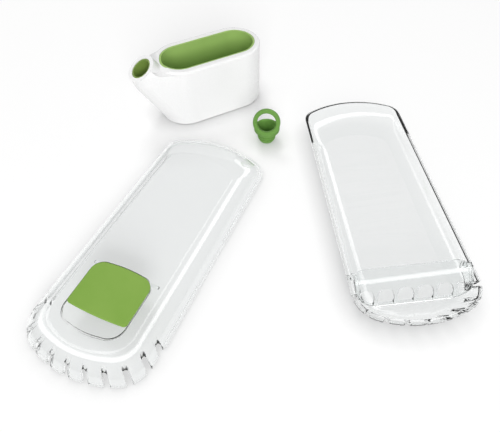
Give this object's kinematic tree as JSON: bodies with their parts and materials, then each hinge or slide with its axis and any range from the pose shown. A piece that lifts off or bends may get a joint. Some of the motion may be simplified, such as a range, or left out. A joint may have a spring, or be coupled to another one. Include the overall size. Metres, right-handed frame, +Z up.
{
  "type": "herb keeper",
  "caption": "Upright keeper for fresh herbs, laid open: spouted water base with a stopper, a clear tray with a swinging stem comb, and a clear cover with a press latch.",
  "frame": {"origin": "on the table, under the middle of the base's well", "axes": "+Z up from the table; X along the base's long side, with the spout towards -X; +Y away from the laid-out pieces"},
  "size_m": [0.3657, 0.3315, 0.0678],
  "materials": {
    "white_plastic": "glossy white plastic",
    "green_plastic": "satin leaf-green plastic",
    "green_pad": "soft matt green rubber-like plastic",
    "silicone": "satin green silicone",
    "clear_plastic": "clear polished plastic",
    "foot_rubber": "matt grey soft pad"
  },
  "bodies": {
    "base": {"base_shell": "white_plastic", "water_tank": "green_plastic", "spout_liner": "green_plastic", "base_plate": "white_plastic", "foot_pad": "foot_rubber"},
    "stopper": {"spout_stopper": "silicone"},
    "tray": {"tray_shell": "clear_plastic"},
    "comb": {"stem_comb": "clear_plastic"},
    "cover": {"cover_shell": "clear_plastic"},
    "latch": {"latch_plate": "clear_plastic", "grip_pad": "green_pad"}
  },
  "joints": [
    {"name": "stopper_lift", "type": "slide", "parent": "base", "child": "stopper", "axis": [0, 0, 1], "range_m": [0, 0.1]},
    {"name": "tray_lift", "type": "slide", "parent": "base", "child": "tray", "axis": [0, 0, 1], "range_m": [0, 0.1]},
    {"name": "cover_lift", "type": "slide", "parent": "base", "child": "cover", "axis": [0, 0, 1], "range_m": [0, 0.1]},
    {"name": "comb_hinge", "type": "hinge", "parent": "tray", "child": "comb", "pos_m": [0.04164, -0.26091, 0.0143], "axis": [-0.9379, 0.3469, 0], "range_deg": [0, 100]},
    {"name": "latch_press", "type": "hinge", "parent": "cover", "child": "latch", "pos_m": [-0.14426, -0.16726, 0.013], "axis": [0.6198, -0.7848, 0], "range_deg": [0, 4], "stiffness_Nm_per_rad": 0.05}
  ]
}
